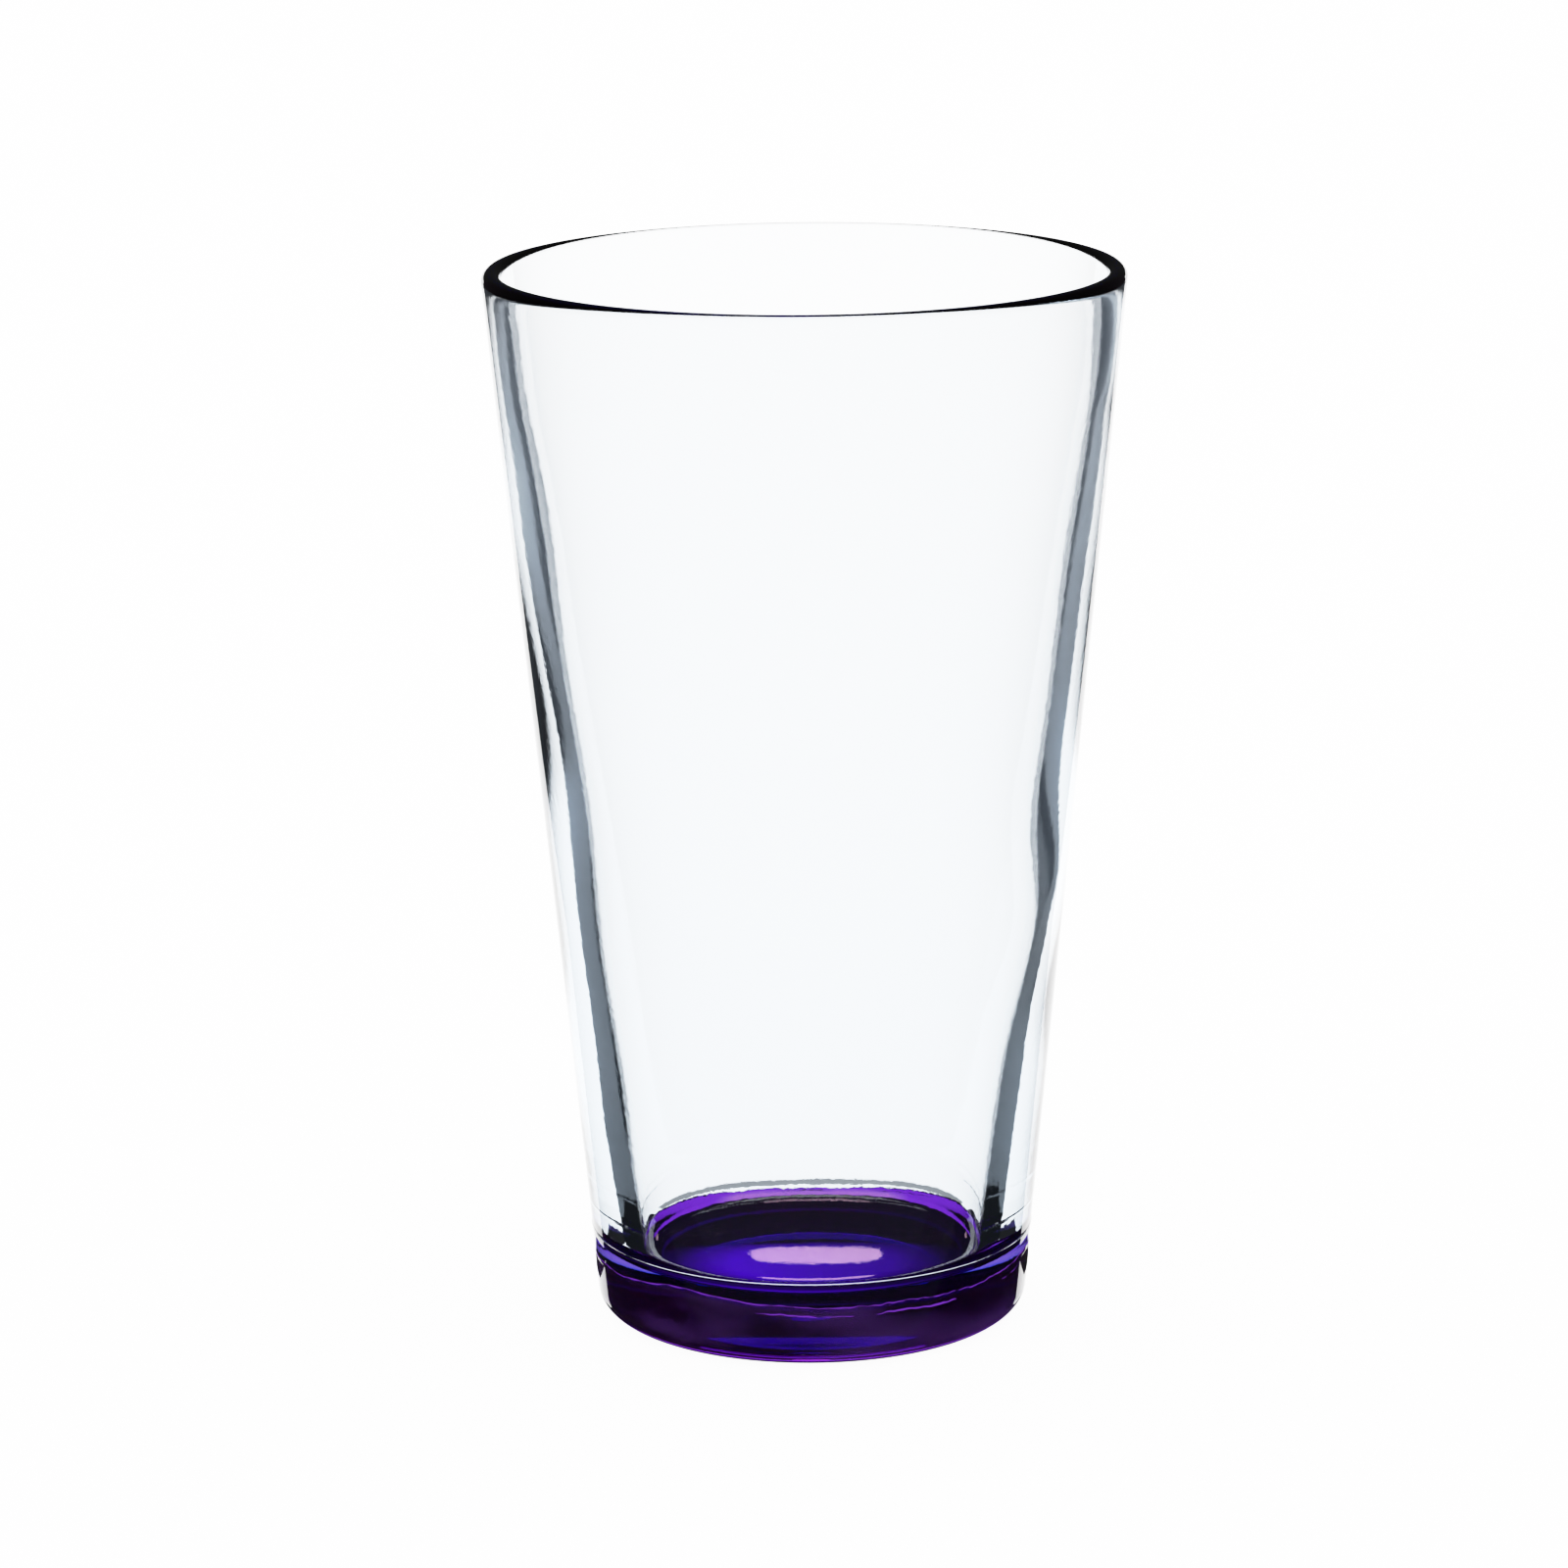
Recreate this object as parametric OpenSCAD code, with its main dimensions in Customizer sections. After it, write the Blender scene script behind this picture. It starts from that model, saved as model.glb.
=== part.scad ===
// Conical bar mixing glass: a one-piece pressed glass tumbler whose foot is
// sprayed with a thin translucent violet lacquer.
// The Z axis is the axis of the tumbler and z = 0 is the plane that it stands on.
// Both pieces are turned from half sections, drawn with x as the radius and y as the height.

/* [Outside] */
// Height over all
height = 149; // [140:0.5:160]
// Diameter over the mouth, where the wall line reaches the full height
mouth_d = 89; // [84:0.5:94]
// Diameter of the same wall line at the standing plane
base_d = 60; // [58:0.5:66]
// Radius of the rounded heel
heel_r = 3.75; // [2:0.25:4]

/* [Wall] */
// Wall thickness at the mouth, which is rounded over in one full round
mouth_wall = 2.8; // [2.2:0.1:3.4]
// Diameter of the inner wall line at the height of the middle of the floor
floor_d = 48; // [45:0.5:51]

/* [Floor of the cavity] */
// Height of the middle of the floor above the standing plane
floor_h = 8.6; // [7:0.1:11]
// Radius of the spherical dish that forms the floor
dish_r = 220; // [120:5:400]
// Radius of the fillet between the floor and the inner wall
floor_fillet = 3.75; // [1.5:0.25:5]

/* [Underside] */
// Diameter of the hollow under the foot, inside the bearing ring
punt_d = 48; // [40:0.5:48]
// Depth of that hollow in the middle
punt_depth = 1.3; // [0.5:0.1:3]

/* [Mould line] */
// Height of the fine ridge that the mould leaves round the foot
seam_h = 12.8; // [11.5:0.1:16]
// Radius of the ridge's half-round bead
seam_r = 0.12; // [0.05:0.01:0.25]

/* [Lacquer] */
// Height of the lacquer's top edge above the standing plane
coat_h = 10.5; // [6:0.5:11]
// Thickness of the lacquer film
coat_t = 0.15; // [0.1:0.01:0.25]

/* [Hidden] */
facets = 180;
glass_colour = [0.86, 0.93, 0.95, 0.35];
lacquer_colour = [0.23, 0.02, 0.55, 0.85];

// Depth by which each stretch of an outline bites into the round that it runs into,
// so that the two outlines cross instead of grazing each other
bite = 0.001;

// Outer wall line
base_r = base_d / 2;
wall_lean = atan((mouth_d / 2 - base_r) / height);
wall_normal = [cos(wall_lean), -sin(wall_lean)];
function outer_x(z) = base_r + z * tan(wall_lean);

// Centre of the full round that closes the mouth, tangent to the outer wall line
rim_r = mouth_wall / 2;
rim_z = height - rim_r;
rim_centre = [outer_x(rim_z) - rim_r / cos(wall_lean), rim_z];
rim_outside = rim_centre + (rim_r - bite) * wall_normal;

// Inner wall line, from the level of the floor to its tangent point on the mouth's round
floor_edge = [floor_d / 2, floor_h];
rim_offset = rim_centre - floor_edge;
cavity_lean = atan(rim_offset[0] / rim_offset[1]) - asin(rim_r / norm(rim_offset));
cavity_normal = [cos(cavity_lean), -sin(cavity_lean)];
cavity_upward = [sin(cavity_lean), cos(cavity_lean)];
rim_inside = rim_centre - (rim_r - bite) * cavity_normal;

// Floor fillet, which touches the inner wall line and the dish from inside
dish_centre = [0, floor_h + dish_r];
fillet_way = floor_edge - floor_fillet * cavity_normal - dish_centre;
fillet_drop = fillet_way * cavity_upward;
fillet_reach = dish_r - floor_fillet;
fillet_square = fillet_drop * fillet_drop - fillet_way * fillet_way + fillet_reach * fillet_reach;
fillet_rise = -fillet_drop - sqrt(fillet_square);
fillet_centre = dish_centre + fillet_way + fillet_rise * cavity_upward;
fillet_wall = fillet_centre + (floor_fillet - bite) * cavity_normal;
fillet_dish = fillet_centre + (floor_fillet - bite) * (fillet_centre - dish_centre) / fillet_reach;

// Underside: the glass foot stands one film thickness above the table
foot_z = coat_t;
heel_z = foot_z + heel_r;
heel_centre = [outer_x(heel_z) - heel_r / cos(wall_lean), heel_z];
punt_r = punt_d / 2;
punt_sphere = (punt_r * punt_r + punt_depth * punt_depth) / (2 * punt_depth);

// Solid outline of the foot and the wall up to the mouth's round, grown outward by d
module outer_half(d) {
  bottom = foot_z - d;
  grown_heel = heel_r + d;
  difference() {
    union() {
      polygon([
        [0, bottom],
        [heel_centre[0], bottom],
        heel_centre + (grown_heel - bite) * wall_normal,
        rim_outside + d * wall_normal,
        rim_centre,
        rim_inside,
        [0, rim_inside[1]]
      ]);
      intersection() {
        translate(heel_centre)
          circle(grown_heel, $fn = facets);
        translate([heel_centre[0], bottom])
          square(grown_heel);
      }
    }
    translate([0, foot_z + punt_depth - punt_sphere])
      circle(punt_sphere - d, $fn = 4 * facets);
  }
}

// Space inside the tumbler, carried on past the mouth
module cavity_half() {
  cavity_top = rim_inside + mouth_wall * cavity_upward;
  polygon([
    [0, fillet_dish[1]],
    fillet_dish,
    fillet_wall,
    cavity_top,
    [0, cavity_top[1]]
  ]);
  translate(fillet_centre)
    circle(floor_fillet, $fn = facets);
  intersection() {
    translate(dish_centre)
      circle(dish_r - bite, $fn = 8 * facets);
    square([fillet_dish[0], fillet_centre[1]]);
  }
}

// The tumbler itself: foot, wall, rounded mouth, floor and mould line
module glass_body() {
  color(glass_colour)
    rotate_extrude($fn = facets)
      union() {
        difference() {
          outer_half(0);
          cavity_half();
        }
        translate(rim_centre)
          circle(rim_r, $fn = facets);
        translate([outer_x(seam_h), seam_h])
          circle(seam_r, $fn = facets);
      }
}

// The film of lacquer on the outside of the foot, the heel and the underside
module base_coat() {
  color(lacquer_colour)
    rotate_extrude($fn = facets)
      intersection() {
        difference() {
          outer_half(coat_t);
          outer_half(0);
        }
        square([mouth_d, coat_h]);
      }
}

glass_body();
base_coat();
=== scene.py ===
import math

import bmesh
import bpy
from mathutils import Matrix, Vector, noise


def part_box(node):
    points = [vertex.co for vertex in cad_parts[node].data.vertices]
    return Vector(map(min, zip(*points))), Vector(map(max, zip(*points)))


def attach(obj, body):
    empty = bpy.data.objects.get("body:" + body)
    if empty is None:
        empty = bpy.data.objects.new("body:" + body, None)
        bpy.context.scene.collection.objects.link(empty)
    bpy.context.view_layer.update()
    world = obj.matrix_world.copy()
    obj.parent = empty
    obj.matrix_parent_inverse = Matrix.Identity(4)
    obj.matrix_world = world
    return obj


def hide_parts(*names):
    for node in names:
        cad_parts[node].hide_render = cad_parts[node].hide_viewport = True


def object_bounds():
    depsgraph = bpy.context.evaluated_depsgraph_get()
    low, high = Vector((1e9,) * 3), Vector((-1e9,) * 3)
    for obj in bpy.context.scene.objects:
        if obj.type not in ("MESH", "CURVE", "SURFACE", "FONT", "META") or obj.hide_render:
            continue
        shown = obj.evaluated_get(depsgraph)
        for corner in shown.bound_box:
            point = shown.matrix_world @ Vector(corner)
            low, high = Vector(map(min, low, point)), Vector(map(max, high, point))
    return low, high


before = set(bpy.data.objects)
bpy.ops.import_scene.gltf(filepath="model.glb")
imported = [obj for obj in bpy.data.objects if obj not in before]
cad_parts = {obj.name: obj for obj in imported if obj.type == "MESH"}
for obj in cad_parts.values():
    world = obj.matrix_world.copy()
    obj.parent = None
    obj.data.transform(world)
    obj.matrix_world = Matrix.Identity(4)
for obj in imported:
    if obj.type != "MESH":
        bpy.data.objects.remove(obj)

MM = 0.001
cad_low, cad_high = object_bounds()

# ---------------------------------------------------------------- sizes, in millimetres
# Overall sizes come from the frame, and the rest repeat the driving sizes of the CAD model.
foot_box_low, foot_box_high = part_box("base_coat")
HEIGHT = cad_high.z / MM
COAT_TOP = foot_box_high.z / MM

MOUTH_D = 89.0
BASE_D = 60.0
HEEL_R = 3.75
MOUTH_WALL = 2.8
FLOOR_D = 48.0          # of the inner wall line at the height of the floor
FLOOR_H = 8.6
DISH_R = 220.0
FLOOR_FILLET = 3.75
PUNT_D = 48.0
PUNT_DEPTH = 1.3
PUNT_LIP_R = 2.0        # round between the hollow and the bearing ring
SEAM_H = 12.8
SEAM_R = 0.12
COAT_T = 0.15
COAT_GAP = 0.004        # air left between the glass and the film, too thin to see

AROUND = 480            # segments round the axis


# ---------------------------------------------------------------- outline of the tumbler
BASE_R = BASE_D / 2
WALL_LEAN = math.atan((MOUTH_D / 2 - BASE_R) / HEIGHT)
WALL_NORMAL = Vector((math.cos(WALL_LEAN), -math.sin(WALL_LEAN)))


def outer_x(z):
    """Radius of the outer wall line at height z."""
    return BASE_R + z * math.tan(WALL_LEAN)


RIM_R = MOUTH_WALL / 2
RIM_Z = HEIGHT - RIM_R
RIM_CENTRE = Vector((outer_x(RIM_Z) - RIM_R / math.cos(WALL_LEAN), RIM_Z))
FLOOR_EDGE = Vector((FLOOR_D / 2, FLOOR_H))
_reach = RIM_CENTRE - FLOOR_EDGE
CAVITY_LEAN = math.atan(_reach.x / _reach.y) - math.asin(RIM_R / _reach.length)
CAVITY_NORMAL = Vector((math.cos(CAVITY_LEAN), -math.sin(CAVITY_LEAN)))
CAVITY_UPWARD = Vector((math.sin(CAVITY_LEAN), math.cos(CAVITY_LEAN)))

# the floor fillet touches the inner wall line and the dish from inside
DISH_CENTRE = Vector((0, FLOOR_H + DISH_R))
_way = FLOOR_EDGE - FLOOR_FILLET * CAVITY_NORMAL - DISH_CENTRE
_drop = _way.dot(CAVITY_UPWARD)
_rise = -_drop - math.sqrt(_drop ** 2 - _way.length_squared + (DISH_R - FLOOR_FILLET) ** 2)
FILLET_CENTRE = DISH_CENTRE + _way + _rise * CAVITY_UPWARD
FILLET_TOP = FILLET_CENTRE + FLOOR_FILLET * CAVITY_NORMAL


def arc(centre, radius, start, end, steps):
    """Points of an arc about centre, from one angle to another in degrees, ends included."""
    turn = [math.radians(start + (end - start) * i / steps) for i in range(steps + 1)]
    return [Vector((centre.x + radius * math.cos(t), centre.y + radius * math.sin(t))) for t in turn]


def turn_of(way):
    """Angle of a direction, in degrees."""
    return math.degrees(math.atan2(way.y, way.x))


def straight(start, end, steps):
    """Points of a straight stretch, without its two ends."""
    return [start.lerp(end, i / steps) for i in range(1, steps)]


def outside_outline(grown):
    """Foot of the tumbler grown outward, from the axis under the foot round the heel to where the wall
    starts.
    """
    foot_z = COAT_T
    punt_r = PUNT_D / 2
    sphere = (punt_r ** 2 + PUNT_DEPTH ** 2) / (2 * PUNT_DEPTH)
    sphere_centre = Vector((0, foot_z + PUNT_DEPTH - sphere))
    # the lip is tangent to the bearing plane and to the hollow's sphere
    lip_z = foot_z + PUNT_LIP_R
    lip_x = math.sqrt((sphere + PUNT_LIP_R) ** 2 - (lip_z - sphere_centre.y) ** 2)
    lip = Vector((lip_x, lip_z))
    lip_turn = turn_of(lip - sphere_centre)
    heel_z = foot_z + HEEL_R
    heel = Vector((outer_x(heel_z) - HEEL_R / math.cos(WALL_LEAN), heel_z))
    points = arc(sphere_centre, sphere - grown, 90, lip_turn, 24)
    points += arc(lip, PUNT_LIP_R + grown, lip_turn - 180, -90, 6)[1:]
    points += straight(lip + Vector((0, -PUNT_LIP_R - grown)), heel + Vector((0, -HEEL_R - grown)), 4)
    points += arc(heel, HEEL_R + grown, -90, -math.degrees(WALL_LEAN), 20)
    return points


def wall_point(z, grown=0.0):
    """Point of the outer wall line at height z, moved outward by grown."""
    return Vector((outer_x(z), z)) + grown * WALL_NORMAL


# ---------------------------------------------------------------- what makes it one real glass
def around(angle, centre, half_width):
    """1 at an angle round the axis, falling smoothly to 0 on both sides. All in degrees."""
    off = (angle - centre + 180) % 360 - 180
    return math.exp(-(off / half_width) ** 2)


def smooth_step(value, low, high):
    """0 up to low, 1 from high on, and a soft rise between."""
    t = min(1.0, max(0.0, (value - low) / (high - low)))
    return t * t * (3 - 2 * t)


def coat_edge(angle):
    """Height of the lacquer's uneven top edge at an angle round the axis, in degrees."""
    a = math.radians(angle)
    edge = COAT_TOP - 1.25 - 3.7 * around(angle, 92, 62)
    edge += 1.2 * around(angle, 236, 17) + 1.2 * around(angle, 347, 15)
    edge += 0.1 * math.cos(11 * a) + 0.07 * math.cos(23 * a + 1)
    ragged = 0.06 + 0.2 * around(angle, 305, 45) + 0.16 * around(angle, 92, 62)
    edge += ragged * noise.noise(Vector((math.cos(a), math.sin(a), 0)) * 24)
    return min(edge, COAT_TOP - 0.05)


def seam_wear(angle):
    """How much of the mould line is left: it was polished away almost wholly on one side."""
    return 0.15 + 0.85 * around(angle, 270, 120)


def cavity_shift(angle, z):
    """How far the inner wall stands out from its true cone: the plunger sat a little off centre,
    and the wall kept a few soft hollows and waves as it cooled."""
    a = math.radians(angle)
    up = (z - FLOOR_H) / (HEIGHT - FLOOR_H)
    fade = smooth_step(z, FILLET_TOP.y, FILLET_TOP.y + 24) * smooth_step(-z, -RIM_Z, -RIM_Z + 16)
    shift = 0.24 * up * math.cos(a)
    shift += 0.9 * around(angle, 0, 34) * math.exp(-((z - 58) / 13) ** 2)
    shift += 0.18 * math.cos(2 * a + 0.4) * math.sin(z / 17)
    shift += 0.06 * math.cos(5 * a + z / 23) * math.sin(z / 9 + 1)
    return shift * fade


# ---------------------------------------------------------------- mesh making
def revolve(name, rows, row_material):
    """Mesh made of rings. Each row is a function from an angle in degrees to a point (x, z)
    in millimetres, or a plain point. The first and last rows may be on the axis.
    row_material gives the material index of the band that starts at each row."""
    mesh_maker = bmesh.new()
    rings = []
    for row in rows:
        place = row if callable(row) else (lambda angle, point=row: point)
        if place(0).x < 1e-6:
            rings.append([mesh_maker.verts.new((0, 0, place(0).y * MM))])
            continue
        ring = []
        for i in range(AROUND):
            angle = 360 * i / AROUND
            a = math.radians(angle)
            p = place(angle)
            ring.append(mesh_maker.verts.new((p.x * MM * math.cos(a), p.x * MM * math.sin(a), p.y * MM)))
        rings.append(ring)
    for band, (low, high) in enumerate(zip(rings, rings[1:])):
        for i in range(AROUND):
            j = (i + 1) % AROUND
            if len(low) == 1:
                corners = (low[0], high[j], high[i])
            elif len(high) == 1:
                corners = (low[i], low[j], high[0])
            else:
                corners = (low[i], low[j], high[j], high[i])
            face = mesh_maker.faces.new(corners)
            face.smooth = True
            face.material_index = row_material[band]
    bmesh.ops.recalc_face_normals(mesh_maker, faces=mesh_maker.faces)
    mesh = bpy.data.meshes.new(name)
    mesh_maker.to_mesh(mesh)
    mesh_maker.free()
    piece = bpy.data.objects.new(name, mesh)
    bpy.context.scene.collection.objects.link(piece)
    return piece


# ---------------------------------------------------------------- materials
def new_material(name):
    material = bpy.data.materials.new(name)
    material.use_nodes = True
    material.node_tree.nodes.clear()
    return material, material.node_tree


def clear_glass():
    material, tree = new_material("clear_glass")
    glass = tree.nodes.new("ShaderNodeBsdfGlass")
    glass.inputs["IOR"].default_value = 1.52
    glass.inputs["Roughness"].default_value = 0.0
    # fine ripples where the plunger pressed the floor
    ripple = tree.nodes.new("ShaderNodeBump")
    ripple.inputs["Strength"].default_value = 1.0
    ripple.inputs["Distance"].default_value = 0.000004
    tree.links.new(soft_noise(tree, 900, 1.0, 4.0), ripple.inputs["Height"])
    tree.links.new(ripple.outputs[0], glass.inputs["Normal"])
    tint = tree.nodes.new("ShaderNodeVolumeAbsorption")
    tint.inputs["Color"].default_value = (0.74, 0.87, 0.98, 1)
    tint.inputs["Density"].default_value = 50.0
    out = tree.nodes.new("ShaderNodeOutputMaterial")
    tree.links.new(glass.outputs[0], out.inputs["Surface"])
    tree.links.new(tint.outputs[0], out.inputs["Volume"])
    return material


def bonded_glass():
    """Glass in optical contact with the lacquer: light goes on into the film undisturbed."""
    material, tree = new_material("glass_under_lacquer")
    through = tree.nodes.new("ShaderNodeBsdfTransparent")
    out = tree.nodes.new("ShaderNodeOutputMaterial")
    tree.links.new(through.outputs[0], out.inputs["Surface"])
    return material


def soft_noise(tree, scale, stretch, detail=3.0):
    """Noise of the object's own coordinates. scale is per metre, and stretch is its scale along Z."""
    place = tree.nodes.new("ShaderNodeTexCoord")
    mapping = tree.nodes.new("ShaderNodeMapping")
    mapping.inputs["Scale"].default_value = (1, 1, stretch)
    texture = tree.nodes.new("ShaderNodeTexNoise")
    texture.inputs["Scale"].default_value = scale
    texture.inputs["Detail"].default_value = detail
    tree.links.new(place.outputs["Object"], mapping.inputs["Vector"])
    tree.links.new(mapping.outputs[0], texture.inputs["Vector"])
    return texture.outputs["Fac"]


def remap(tree, value, low, high, out_low, out_high):
    """value from low to high becomes out_low to out_high, clamped."""
    node = tree.nodes.new("ShaderNodeMapRange")
    for name, number in (("From Min", low), ("From Max", high), ("To Min", out_low), ("To Max", out_high)):
        node.inputs[name].default_value = number
    tree.links.new(value, node.inputs["Value"])
    return node.outputs[0]


def combine(tree, operation, a, b):
    node = tree.nodes.new("ShaderNodeMath")
    node.operation = operation
    tree.links.new(a, node.inputs[0])
    if isinstance(b, float):
        node.inputs[1].default_value = b
    else:
        tree.links.new(b, node.inputs[1])
    return node.outputs[0]


def place_of(tree):
    """Object coordinates, split into X, Y and Z."""
    place = tree.nodes.new("ShaderNodeTexCoord")
    split = tree.nodes.new("ShaderNodeSeparateXYZ")
    tree.links.new(place.outputs["Object"], split.inputs[0])
    return split.outputs


def reach_of(tree):
    """Distance from the object's origin."""
    place = tree.nodes.new("ShaderNodeTexCoord")
    reach = tree.nodes.new("ShaderNodeVectorMath")
    reach.operation = "LENGTH"
    tree.links.new(place.outputs["Object"], reach.inputs[0])
    return reach.outputs["Value"]


def lacquer_face():
    """The film's free surface: a smooth clear boundary with air, a little milky in patches, with
    a rough beaded line of overspray along its top edge and broken streaks below it."""
    material, tree = new_material("lacquer_surface")
    glass = tree.nodes.new("ShaderNodeBsdfGlass")
    glass.inputs["IOR"].default_value = 1.52
    glass.inputs["Roughness"].default_value = 0.0
    milk = tree.nodes.new("ShaderNodeBsdfDiffuse")
    milk.inputs["Color"].default_value = (0.3, 0.1, 0.72, 1)
    fringe = tree.nodes.new("ShaderNodeBsdfDiffuse")
    fringe.inputs["Color"].default_value = (0.085, 0.015, 0.24, 1)
    below = tree.nodes.new("ShaderNodeAttribute")
    below.attribute_name = "below_edge"
    milkiness = remap(tree, soft_noise(tree, 48, 4.0), 0.45, 0.68, 0.002, 0.042)
    line = remap(tree, below.outputs["Fac"], 0.0, 0.5, 0.75, 0.0)
    beads = soft_noise(tree, 520, 2.2, 5.0)
    beaded = combine(tree, "GREATER_THAN", combine(tree, "MULTIPLY", line, beads), 0.27)
    rise = remap(tree, below.outputs["Fac"], 0.8, 1.35, 0.0, 1.0)
    fall = remap(tree, below.outputs["Fac"], 1.35, 1.95, 1.0, 0.0)
    side = remap(tree, place_of(tree)["X"], -0.022, -0.004, 0.0, 1.0)
    streak = combine(tree, "MULTIPLY", combine(tree, "MULTIPLY", rise, fall), side)
    smears = soft_noise(tree, 150, 7.0, 6.0)
    streaked = combine(tree, "GREATER_THAN", combine(tree, "MULTIPLY", streak, smears), 0.47)
    sprayed = combine(tree, "MAXIMUM", beaded, streaked)
    with_milk = tree.nodes.new("ShaderNodeMixShader")
    with_fringe = tree.nodes.new("ShaderNodeMixShader")
    out = tree.nodes.new("ShaderNodeOutputMaterial")
    tree.links.new(milkiness, with_milk.inputs["Fac"])
    tree.links.new(glass.outputs[0], with_milk.inputs[1])
    tree.links.new(milk.outputs[0], with_milk.inputs[2])
    tree.links.new(sprayed, with_fringe.inputs["Fac"])
    tree.links.new(with_milk.outputs[0], with_fringe.inputs[1])
    tree.links.new(fringe.outputs[0], with_fringe.inputs[2])
    tree.links.new(with_fringe.outputs[0], out.inputs["Surface"])
    return material


def lacquer_dye():
    """The film's bonded face, which carries its colour: one pass through it dyes the light.
    It is slightly cloudy, and its colour is paler low on one side of the heel."""
    material, tree = new_material("lacquer_dye")
    through = tree.nodes.new("ShaderNodeBsdfTransparent")
    place = place_of(tree)
    # the colour turns paler low on the heel on the +Y side, across its middle
    low = remap(tree, place["Z"], 0.0035, 0.0055, 1.0, 0.0)
    far = remap(tree, place["Y"], 0.0190, 0.0235, 0.0, 1.0)
    middle = remap(tree, combine(tree, "ABSOLUTE", place["X"], 0.0), 0.013, 0.017, 1.0, 0.0)
    paler = combine(tree, "MULTIPLY", combine(tree, "MULTIPLY", low, far), middle)
    mix = tree.nodes.new("ShaderNodeMix")
    mix.data_type = "RGBA"
    tree.links.new(paler, mix.inputs["Factor"])
    mix.inputs["A"].default_value = (0.17, 0.02, 0.47, 1)
    mix.inputs["B"].default_value = (0.32, 0.12, 0.46, 1)
    tree.links.new(mix.outputs["Result"], through.inputs["Color"])
    pigment = tree.nodes.new("ShaderNodeBsdfDiffuse")
    pigment.inputs["Color"].default_value = (1.0, 0.02, 0.55, 1)
    cloudy = tree.nodes.new("ShaderNodeMixShader")
    cloudy.inputs["Fac"].default_value = 0.05
    out = tree.nodes.new("ShaderNodeOutputMaterial")
    tree.links.new(through.outputs[0], cloudy.inputs[1])
    tree.links.new(pigment.outputs[0], cloudy.inputs[2])
    tree.links.new(cloudy.outputs[0], out.inputs["Surface"])
    return material


# ---------------------------------------------------------------- the two pieces
GLASS, BONDED = 0, 1
FACE, DYE = 0, 1


def make_tumbler():
    rows = [p for p in outside_outline(0)]
    bands = [BONDED] * len(rows)
    heel_top = rows[-1].y
    # between the heel and the mould line the rows follow the lacquer's edge
    for i in range(1, 9):
        rows.append(lambda angle, t=i / 8: wall_point(heel_top + (coat_edge(angle) - heel_top) * t))
        bands.append(BONDED)
    bands[-1] = GLASS
    seam_low = SEAM_H - 3 * SEAM_R
    for i in range(1, 5):
        rows.append(lambda angle, t=i / 4: wall_point(coat_edge(angle) + (seam_low - coat_edge(angle)) * t))
        bands.append(GLASS)
    seam_steps = 12
    for i in range(1, seam_steps + 1):
        z = seam_low + 6 * SEAM_R * i / seam_steps
        rows.append(lambda angle, z=z: wall_point(
            z, SEAM_R * seam_wear(angle) * math.exp(-((z - SEAM_H) / SEAM_R) ** 2)))
        bands.append(GLASS)
    rim = arc(RIM_CENTRE, RIM_R, -math.degrees(WALL_LEAN), 180 - math.degrees(CAVITY_LEAN), 32)
    outside = straight(wall_point(SEAM_H + 3 * SEAM_R), rim[0], 60)
    rows += outside + rim
    bands += [GLASS] * (len(outside) + len(rim))
    dish_turn = turn_of(FILLET_CENTRE - DISH_CENTRE)
    fillet = arc(FILLET_CENTRE, FLOOR_FILLET, -math.degrees(CAVITY_LEAN), dish_turn, 30)
    for p in straight(rim[-1], fillet[0], 110):
        rows.append(lambda angle, p=p: p + cavity_shift(angle, p.y) * CAVITY_NORMAL)
        bands.append(GLASS)
    dish = arc(DISH_CENTRE, DISH_R, dish_turn, -90, 24)[1:]
    dish[-1].x = 0.0
    rows += fillet + dish
    bands += [GLASS] * (len(fillet) + len(dish))
    return revolve("tumbler", rows, bands)


def make_lacquer():
    inside = outside_outline(COAT_GAP)
    outside = outside_outline(COAT_T)
    heel_low, heel_grown = inside[-1].y, outside[-1].y
    steps = 8
    feather = 0.03          # film thickness at its top edge

    def skin(t, grown_at_heel, grown_at_edge, start):
        def place(angle):
            z = start + (coat_edge(angle) - start) * t
            return wall_point(z, grown_at_heel + (grown_at_edge - grown_at_heel) * t ** 3)
        return place

    rows = list(outside)
    rows += [skin(i / steps, COAT_T, feather, heel_grown) for i in range(1, steps + 1)]
    bands = [FACE] * len(rows)
    rows += [skin(i / steps, COAT_GAP, COAT_GAP, heel_low) for i in range(steps, 0, -1)]
    rows += inside[::-1]
    bands += [DYE] * (len(rows) - len(bands))
    lacquer = revolve("lacquer", rows, bands)
    below = lacquer.data.attributes.new("below_edge", "FLOAT", "POINT")
    for vertex, value in zip(lacquer.data.vertices, below.data):
        angle = math.degrees(math.atan2(vertex.co.y, vertex.co.x)) % 360
        value.value = coat_edge(angle) - vertex.co.z / MM
    return lacquer


tumbler = make_tumbler()
for material in (clear_glass(), bonded_glass()):
    tumbler.data.materials.append(material)
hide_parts("glass_body")
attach(tumbler, "root")

lacquer = make_lacquer()
for material in (lacquer_face(), lacquer_dye()):
    lacquer.data.materials.append(material)
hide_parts("base_coat")
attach(lacquer, "root")


# ---------------------------------------------------------------- camera
CAMERA_DISTANCE = 0.8284
CAMERA_HEIGHT = math.radians(13.56)
CAMERA_ROLL = math.radians(0.51)
CAMERA_LENS = 135.74
AIM = Vector((-0.0034, 0, HEIGHT * MM / 2 + 0.0015))


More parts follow.
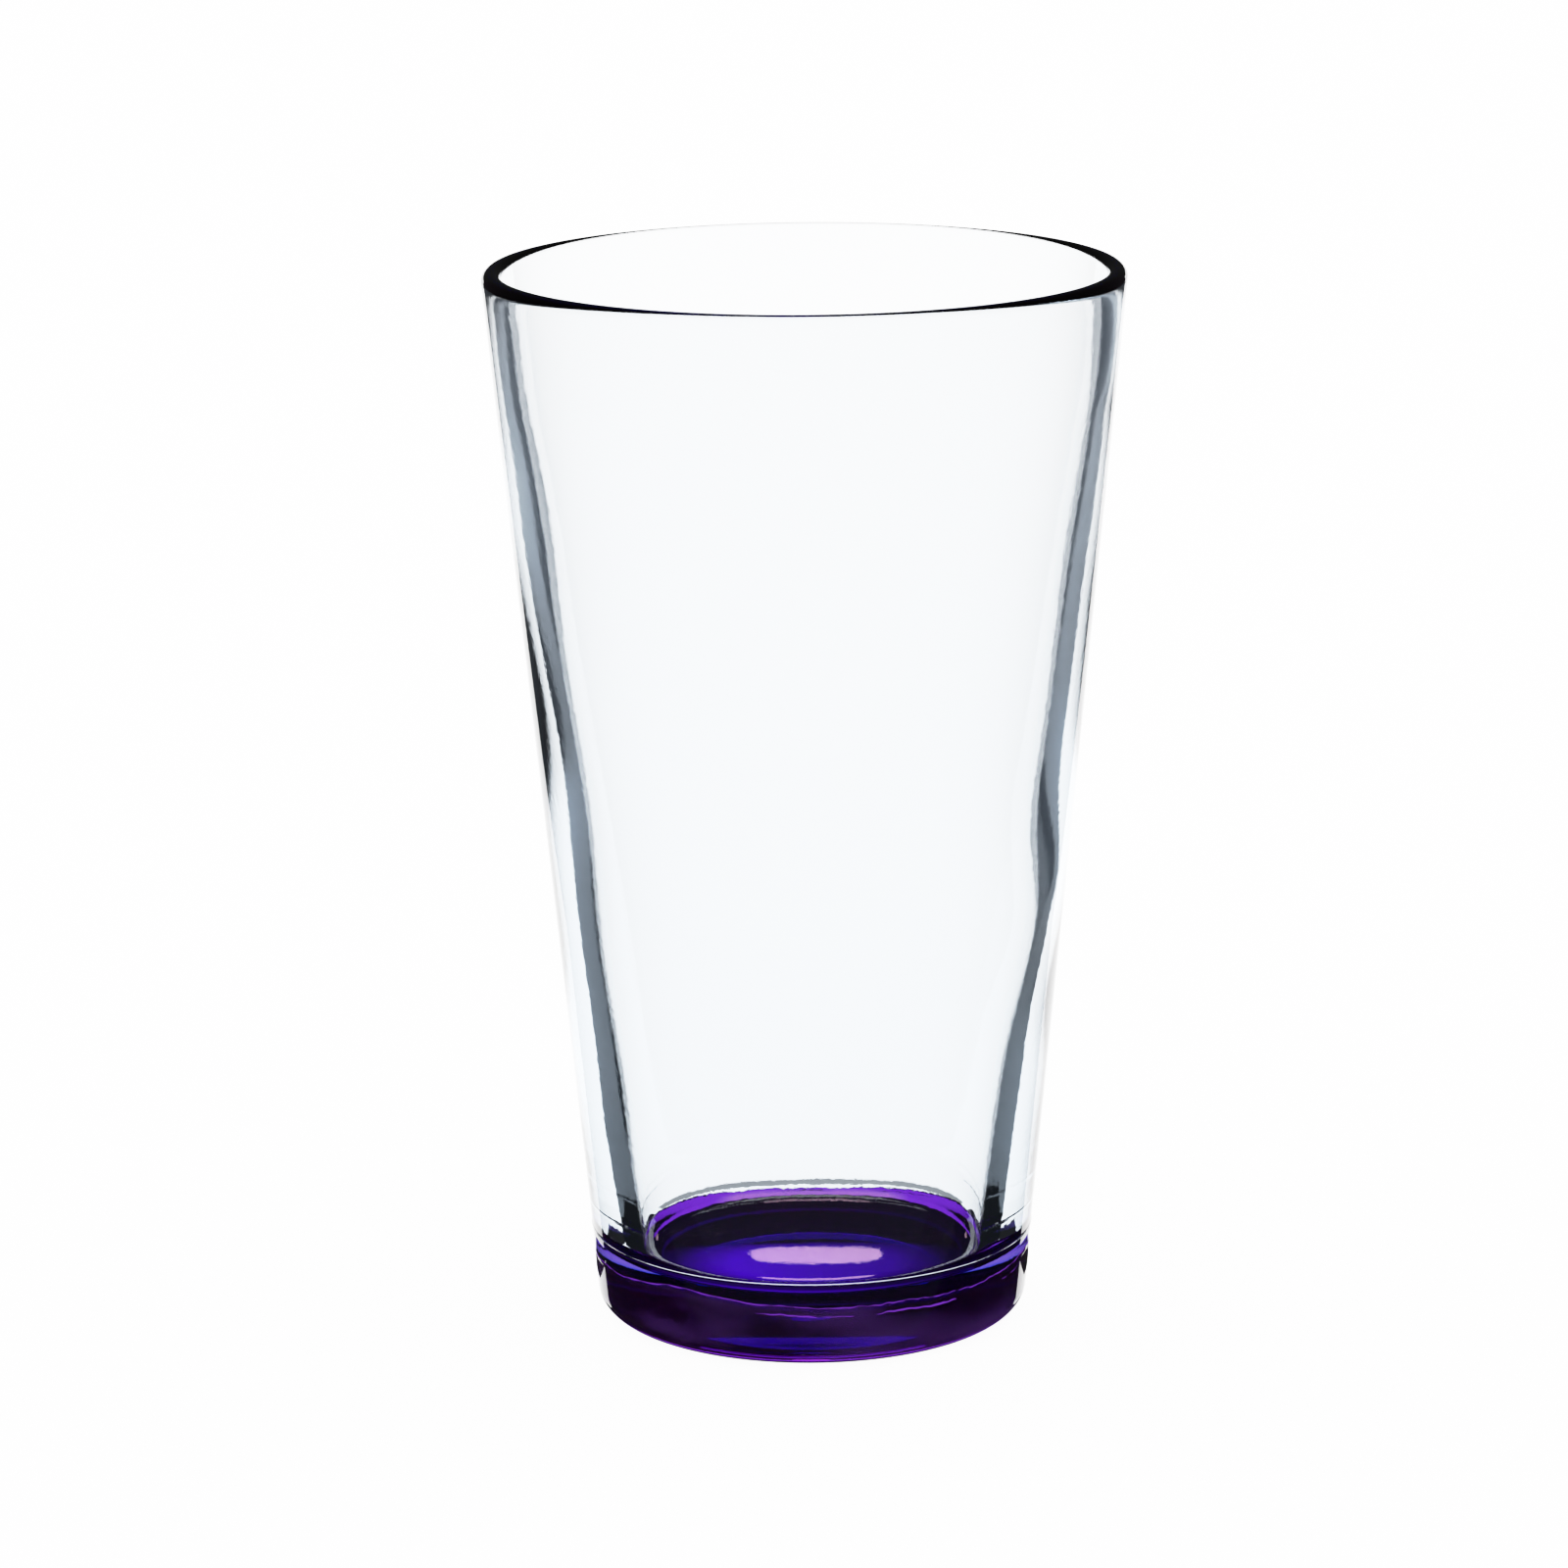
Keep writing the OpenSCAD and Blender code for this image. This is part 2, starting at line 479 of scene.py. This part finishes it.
def make_camera():
    data = bpy.data.cameras.new("camera")
    data.sensor_width = 36
    data.lens = CAMERA_LENS
    data.clip_end = 100
    camera = bpy.data.objects.new("camera", data)
    bpy.context.scene.collection.objects.link(camera)
    back = Vector((0, -math.cos(CAMERA_HEIGHT), math.sin(CAMERA_HEIGHT)))
    place = Vector((0, 0, HEIGHT * MM / 2)) + back * CAMERA_DISTANCE
    turn = (AIM - place).to_track_quat("-Z", "Y").to_matrix().to_4x4()
    camera.matrix_world = Matrix.Translation(place) @ turn @ Matrix.Rotation(-CAMERA_ROLL, 4, "Z")
    bpy.context.scene.camera = camera
    return camera


camera = make_camera()


# ---------------------------------------------------------------- studio
WHITE = 2.3             # light of the whole studio
GREY = (1, 1, 1)
COOL_GREY = (0.85, 0.97, 1.15)


def emission(name, colour, strength):
    material, tree = new_material(name)
    glow = tree.nodes.new("ShaderNodeEmission")
    glow.inputs["Color"].default_value = (*colour, 1)
    glow.inputs["Strength"].default_value = strength
    out = tree.nodes.new("ShaderNodeOutputMaterial")
    tree.links.new(glow.outputs[0], out.inputs["Surface"])
    return material


def make_world():
    world = bpy.data.worlds.new("studio")
    world.use_nodes = True
    background = world.node_tree.nodes["Background"]
    background.inputs["Color"].default_value = (1, 1, 1, 1)
    background.inputs["Strength"].default_value = WHITE
    bpy.context.scene.world = world


def flat_mesh(name, points, faces, material):
    mesh = bpy.data.meshes.new(name)
    mesh.from_pydata(points, [], faces)
    mesh.materials.append(material)
    flat = bpy.data.objects.new(name, mesh)
    bpy.context.scene.collection.objects.link(flat)
    return flat


def make_floor():
    size = 6.0
    material = emission("pale_floor", (1, 1, 1), 0.8 * WHITE)
    tree = material.node_tree
    paper = tree.nodes.new("ShaderNodeBsdfDiffuse")
    paper.inputs["Color"].default_value = (0.2, 0.2, 0.2, 1)
    both = tree.nodes.new("ShaderNodeAddShader")
    tree.links.new(tree.nodes["Emission"].outputs[0], both.inputs[0])
    tree.links.new(paper.outputs[0], both.inputs[1])
    tree.links.new(both.outputs[0], tree.nodes["Material Output"].inputs["Surface"])
    corners = [(-size, -size, 0), (size, -size, 0), (size, size, 0), (-size, size, 0)]
    floor = flat_mesh("floor", corners, [(0, 1, 2, 3)], material)
    floor.location.z = -0.0001


def ring(inner, outer, z, start=0.0, end=360.0, steps=96):
    """Points and faces of a flat ring, of a disc if inner is 0, or of a part of one between two angles."""
    points, faces = [], []
    for i in range(steps):
        a0, a1 = (math.radians(start + (end - start) * k / steps) for k in (i, i + 1))
        first = len(points)
        for a, r in ((a0, inner), (a0, outer), (a1, outer), (a1, inner)):
            points.append((r * math.cos(a), r * math.sin(a), z))
        faces.append(tuple(range(first, first + 4)))
    return points, faces


def curved_wall(radius, height, start, end, steps):
    """Points and faces of an upright wall round the axis, between two angles."""
    points, faces = [], []
    for i in range(steps):
        a0, a1 = (math.radians(start + (end - start) * k / steps) for k in (i, i + 1))
        (x0, y0), (x1, y1) = ((radius * math.cos(a), radius * math.sin(a)) for a in (a0, a1))
        faces.append(tuple(range(len(points), len(points) + 4)))
        points += [(x0, y0, 0), (x1, y1, 0), (x1, y1, height), (x0, y0, height)]
    return points, faces


def graded_card():
    """A grey card that is nearly black by the foot and lighter further out."""
    material = emission("graded_card", COOL_GREY, 1.0)
    tree = material.node_tree
    strength = remap(tree, reach_of(tree), 0.07, 0.4, 0.01, 0.1)
    tree.links.new(strength, tree.nodes["Emission"].inputs["Strength"])
    return material


def foot_glow():
    """The table under the foot, lit through the violet base: most in the middle, and more from
    the left than the right."""
    material = emission("foot_glow", (0.64, 0.003, 1.7), 1.0)
    tree = material.node_tree
    across = remap(tree, place_of(tree)["X"], -0.012, 0.02, 1.1, 0.4)
    middle = remap(tree, reach_of(tree), 0.012, 0.021, 1.0, 0.1)
    tree.links.new(combine(tree, "MULTIPLY", across, middle), tree.nodes["Emission"].inputs["Strength"])
    return material


def table_shade(name, inner, outer, z, start, end, colour, strength):
    """A flat card on the table, shaped like part of a ring round the foot."""
    return flat_mesh(name, *ring(inner, outer, z, start, end), emission(name, colour, strength))


def make_cards():
    """Cards as in bright-field glass photography: they leave a bright strip behind the glass
    and are dark elsewhere. The rig turns about the axis to face the camera, as on a turntable.
    Only the glass sees it."""
    rig = bpy.data.objects.new("card_rig", None)
    bpy.context.scene.collection.objects.link(rig)
    face = rig.constraints.new("LOCKED_TRACK")
    face.target = camera
    face.track_axis = "TRACK_NEGATIVE_Y"
    face.lock_axis = "LOCK_Z"

    strip = 0.0302          # half width of the bright strip where it starts, beside the glass
    start = -0.0076
    bend = 0.14             # the strip spreads fast up to here, and slowly beyond
    bend_half = strip + math.tan(math.radians(35)) * (bend - start)
    front = -0.0315         # nothing is bright in front of the foot
    far = 2.0
    far_half = bend_half + math.tan(math.radians(14)) * (far - bend)
    wide = 3.0
    z = 0.0001
    sides = []
    for side in (-1, 1):
        sides += [(side * strip, start, z), (side * bend_half, bend, z), (side * far_half, far, z),
                  (side * wide, far, z), (side * wide, start, z)]
    flanks = [(side * x, y, z) for side, x, y in (
        (-1, strip, front), (-1, strip, start), (-1, wide, start), (-1, wide, front),
        (1, strip, front), (1, strip, start), (1, wide, start), (1, wide, front))]
    before = [(-wide, -wide, z), (wide, -wide, z), (wide, front, z), (-wide, front, z)]

    drum = 1.2
    roof = 1.5
    shell, shell_faces = curved_wall(drum, roof, 0, 360, 48)
    first = len(shell)
    shell += [(-drum, -drum, roof), (drum, -drum, roof), (drum, drum, roof), (-drum, drum, roof)]
    shell_faces.append(tuple(range(first, first + 4)))

    # the foot of the bright backdrop, which shows through the glass from low down
    backdrop, backdrop_faces = curved_wall(1.13, 0.2, 68, 112, 12)

    # a softbox behind the glass, above the backdrop, that the dished floor mirrors
    softbox_centre = Vector((0.006, 1.15, 0.344))
    half_wide, half_high = 0.07, 0.038
    squareness = 0.7        # 1 would be an ellipse
    corners_round = 64
    softbox = []
    for i in range(corners_round):
        c, s = math.cos(math.tau * i / corners_round), math.sin(math.tau * i / corners_round)
        softbox.append(softbox_centre + Vector((half_wide * math.copysign(abs(c) ** squareness, c), 0,
                                                half_high * math.copysign(abs(s) ** squareness, s))))

    # a flag that keeps the softbox out of the rim
    flag = [(-0.1, 0.15, 0.15), (0.1, 0.15, 0.15), (0.1, 0.15, 0.4), (-0.1, 0.15, 0.4)]

    glow_r = 0.0245
    quads = [(0, 1, 2, 3), (4, 5, 6, 7)]
    parts = [
        flat_mesh("side_cards", sides, [(0, 1, 2, 3, 4), (5, 6, 7, 8, 9)], graded_card()),
        flat_mesh("flank_cards", flanks, quads, graded_card()),
        flat_mesh("front_card", before, quads[:1], emission("front_card", COOL_GREY, 0.05)),
        flat_mesh("dark_studio", shell, shell_faces, emission("dark_studio", (1.0, 0.8, 1.0), 0.02)),
        flat_mesh("backdrop", backdrop, backdrop_faces, emission("backdrop", GREY, 0.8 * WHITE)),
        flat_mesh("softbox", softbox, [tuple(range(corners_round))],
                  emission("softbox_light", (3.6, 2.1, 2.6), 1.0)),
        flat_mesh("rim_flag", flag, quads[:1], emission("rim_flag", GREY, 0.02)),
        table_shade("back_shade", 0.038, 0.043, 0.00005, 40, 140, GREY, 0.45),
        table_shade("front_shade", 0.031, 0.048, 0.00004, 190, 350, GREY, 0.02),
        table_shade("right_shade", 0.036, 0.048, 0.00003, 14, 34, GREY, 0.02),
        table_shade("left_shade", 0.036, 0.048, 0.00003, 146, 166, GREY, 0.02),
        table_shade("foot_shade", glow_r, 0.031, 0.00005, 0, 360, (0.5, 0.3, 1), 0.02),
        flat_mesh("foot_glow", *ring(0.0, glow_r, 0.00005), foot_glow()),
    ]
    for part in parts:
        part.parent = rig
        part.visible_camera = False
        part.visible_diffuse = False
        part.visible_shadow = False


make_world()
make_floor()
make_cards()

scene = bpy.context.scene
scene.view_settings.view_transform = "Standard"
scene.view_settings.use_curve_mapping = True
# the curve rolls off the highlights of the bright studio
shoulder = scene.view_settings.curve_mapping
shoulder.white_level = (2.4, 2.4, 2.4)
for light, shown in ((0.104, 0.25), (0.25, 0.6), (0.417, 0.8), (0.75, 0.95)):
    shoulder.curves[3].points.new(light, shown)
shoulder.update()
scene.cycles.max_bounces = 32
scene.cycles.transmission_bounces = 32
scene.cycles.glossy_bounces = 16
scene.cycles.transparent_max_bounces = 32
